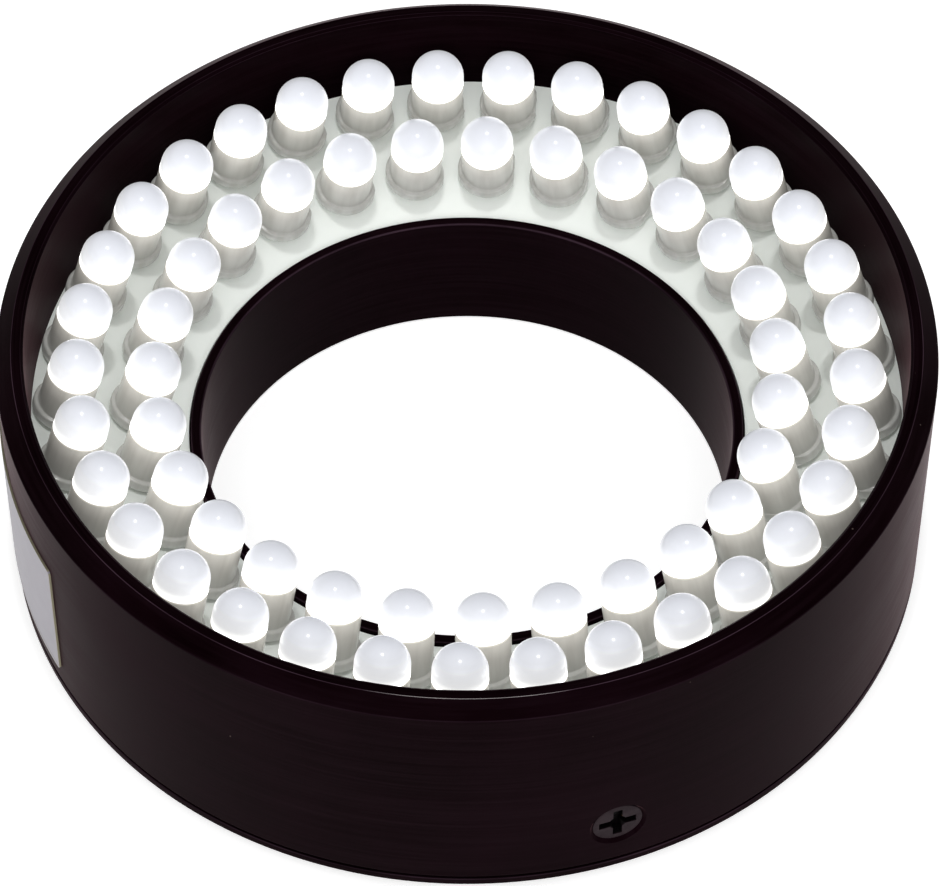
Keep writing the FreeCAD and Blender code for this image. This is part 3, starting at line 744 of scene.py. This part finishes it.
def nameplate():
    """A thin plate bent to the wall, built from columns whose ends follow its round corners."""
    inner, outer = BODY_RADIUS, BODY_RADIUS + NAMEPLATE_SKIN
    straight = (plate_half_width - NAMEPLATE_CORNER) * 2
    columns = []
    for step in range(NAMEPLATE_CORNER_STEPS + 1):
        swing = math.pi / 2 * step / NAMEPLATE_CORNER_STEPS
        columns.append((-plate_half_width + NAMEPLATE_CORNER * (1 - math.cos(swing)),
                        plate_half_height - NAMEPLATE_CORNER * (1 - math.sin(swing))))
    for step in range(1, NAMEPLATE_STEPS):
        columns.append((-plate_half_width + NAMEPLATE_CORNER + straight * step / NAMEPLATE_STEPS,
                        plate_half_height))
    columns += [(-along, half) for along, half in columns[NAMEPLATE_CORNER_STEPS::-1]]
    mesh = bmesh.new()
    local_layer = mesh.verts.layers.float_vector.new("local")
    middle_angle = math.radians(NAMEPLATE_FIRST_ANGLE + NAMEPLATE_SPAN / 2)
    middle_height = (plate_low + plate_high) / 2
    rows = []
    for along, half in columns:
        angle = middle_angle + along / BODY_RADIUS
        row = []
        for radius, height in ((outer, half), (outer, -half), (inner, -half), (inner, half)):
            vertex = mesh.verts.new((radius * math.cos(angle), radius * math.sin(angle),
                                     middle_height + height))
            vertex[local_layer] = (along, height, 0)
            row.append(vertex)
        rows.append(row)
    for row, following in zip(rows, rows[1:]):
        for side in range(4):
            after = (side + 1) % 4
            mesh.faces.new((row[side], row[after], following[after], following[side]))
    mesh.faces.new(rows[0])
    mesh.faces.new(rows[-1][::-1])
    item = as_object("bent_nameplate", mesh)
    bevel = item.modifiers.new("edge", "BEVEL")
    bevel.width = NAMEPLATE_EDGE * MM
    bevel.segments = 2
    bevel.angle_limit = math.radians(40)
    finish_piece(item, "nameplate_silver", "nameplate")


# LEDs

def on_board(radius, angle, lift):
    """A frame on the board at a radius and angle, with Z square to the board."""
    return (Matrix.Rotation(math.radians(angle), 4, "Z")
            @ Matrix.Translation((radius, 0, board_height(radius)))
            @ Matrix.Rotation(-math.atan(BOARD_SLOPE), 4, "Y")
            @ Matrix.Translation((0, 0, lift)))


def lens_outline():
    """Half section of an LED body: flange, stem and dome."""
    outline = rounded([
        (0, 0, 0),
        (FLANGE_RADIUS, 0, 0.10),
        (FLANGE_RADIUS, FLANGE_HEIGHT, 0.22),
        (LENS_RADIUS, FLANGE_HEIGHT, 0.15),
        (LENS_RADIUS, DOME_HEIGHT, 0),
    ], closed=False)
    for step in range(1, DOME_STEPS):
        angle = math.pi / 2 * step / DOME_STEPS
        outline.append((LENS_RADIUS * math.cos(angle),
                        DOME_HEIGHT + LENS_RADIUS * math.sin(angle), 0))
    outline.append((0, DOME_HEIGHT + LENS_RADIUS, 0))
    return outline


def flatten_flange(mesh, place):
    """Pulls the cathode side of the flange in to its flat."""
    back = place.inverted()
    for vertex in mesh.verts:
        local = back @ vertex.co
        in_height = 0 <= local.z <= FLANGE_HEIGHT + TOUCH
        in_reach = math.hypot(local.x, local.y) < FLANGE_RADIUS + TOUCH
        if local.y < -FLAT_DISTANCE and in_height and in_reach:
            vertex.co = place @ Vector((local.x, -FLAT_DISTANCE, local.z))


def led_strings():
    outline = lens_outline()
    for row, (radius, count, phase) in LED_ROWS.items():
        for string in range(count // STRING_LENGTH):
            mesh = bmesh.new()
            for index in range(string * STRING_LENGTH, (string + 1) * STRING_LENGTH):
                place = on_board(radius, phase + index * 360 / count, LED_STANDOFF)
                lathe(mesh, outline, LENS_STEPS, place, closed=False)
                flatten_flange(mesh, place)
            number = f"{string + 1:02d}"
            finish_piece(as_object(f"{row}_lenses_{number}", mesh), "milky_epoxy",
                         f"{row}_led_string_{number}")


outer_housing()
base_plate()
bore_sleeve()
circuit_board()
housing_screws()
nameplate()
led_strings()


# Studio

AMBIENT = 0.42
LOBE_STRENGTH = 2.5
LOBE_SHARPNESS = 6.0
LOBE_DIRECTION = Vector((0.0, -1.0, 0.42))

# sizes of the studio in metres
LAMP_ELEVATION = 89
LAMP_DISTANCE = 0.9
LAMP_SIZE = 0.06
LAMP_POWER = 1.8
FLOOR_HALF_WIDTH = 2.0
FLOOR_GAP = 0.0001
FLOOR_GLOW = 0.55


def overhead_lamp():
    """A small square light that looks down at the middle of the object."""
    light = bpy.data.lights.new("overhead_lamp", "AREA")
    light.size = LAMP_SIZE
    light.energy = LAMP_POWER
    item = bpy.data.objects.new("overhead_lamp", light)
    bpy.context.scene.collection.objects.link(item)
    rise = math.radians(LAMP_ELEVATION)
    away = Vector((0, -math.cos(rise), math.sin(rise)))
    item.location = Vector((0, 0, BODY_TOP * MM / 2)) + away * LAMP_DISTANCE
    item.rotation_mode = "QUATERNION"
    item.rotation_quaternion = away.to_track_quat("Z", "Y")


def sky():
    """Soft light from every side, strongest from the front and above."""
    world = bpy.data.worlds.new("studio")
    world.use_nodes = True
    tree = world.node_tree
    place = tree.nodes.new("ShaderNodeTexCoord")
    facing = tree.nodes.new("ShaderNodeVectorMath")
    facing.operation = "DOT_PRODUCT"
    facing.inputs[1].default_value = LOBE_DIRECTION.normalized()
    lobe = tree.nodes.new("ShaderNodeMapRange")
    power = tree.nodes.new("ShaderNodeMath")
    power.operation = "POWER"
    power.inputs[1].default_value = LOBE_SHARPNESS
    strength = tree.nodes.new("ShaderNodeMath")
    strength.operation = "MULTIPLY_ADD"
    strength.inputs[1].default_value = LOBE_STRENGTH
    strength.inputs[2].default_value = AMBIENT
    tree.links.new(place.outputs["Generated"], facing.inputs[0])
    tree.links.new(facing.outputs["Value"], lobe.inputs["Value"])
    tree.links.new(lobe.outputs[0], power.inputs[0])
    tree.links.new(power.outputs[0], strength.inputs[0])
    background = tree.nodes["Background"]
    tree.links.new(strength.outputs[0], background.inputs["Strength"])
    background.inputs["Color"].default_value = (1, 1, 1, 1)
    bpy.context.scene.world = world


def studio():
    sky()
    overhead_lamp()

    floor_mesh = bmesh.new()
    bmesh.ops.create_grid(floor_mesh, x_segments=8, y_segments=8, size=FLOOR_HALF_WIDTH)
    floor = as_object("floor", floor_mesh)
    floor.location.z = cad_box[0].z - FLOOR_GAP
    graph = Graph("floor_paper")
    grain = graph.noise(graph.place(), 400.0, 3.0)
    graph.surface(Base_Color=graph.blend(grain, (0.84, 0.84, 0.84), (0.88, 0.88, 0.88)),
                  Roughness=0.9, Specular_IOR_Level=0.1, Emission_Color=(1, 1, 1, 1),
                  Emission_Strength=FLOOR_GLOW)
    floor.data.materials.append(graph.material)


# the camera stands this far from the view centre and looks at the aim point
VIEW_CENTRE = Vector((0, 0, 26))
CAMERA_DISTANCE = 407.5
CAMERA_ELEVATION = 49.36
AIM = Vector((0.27, -7.43, 19.62))
SENSOR_WIDTH = 36.0
FOCAL_LENGTH = 171.4
CLIP_RANGE = (0.01, 20.0)


def camera():
    data = bpy.data.cameras.new("camera")
    data.sensor_width = SENSOR_WIDTH
    data.lens = FOCAL_LENGTH
    data.clip_start, data.clip_end = CLIP_RANGE
    item = bpy.data.objects.new("camera", data)
    bpy.context.scene.collection.objects.link(item)
    rise = math.radians(CAMERA_ELEVATION)
    place = VIEW_CENTRE + Vector((0, -math.cos(rise), math.sin(rise))) * CAMERA_DISTANCE
    item.location = place * MM
    item.rotation_mode = "QUATERNION"
    item.rotation_quaternion = (place - AIM).to_track_quat("Z", "Y")
    bpy.context.scene.camera = item


studio()
camera()
bpy.context.scene.view_settings.view_transform = "Standard"
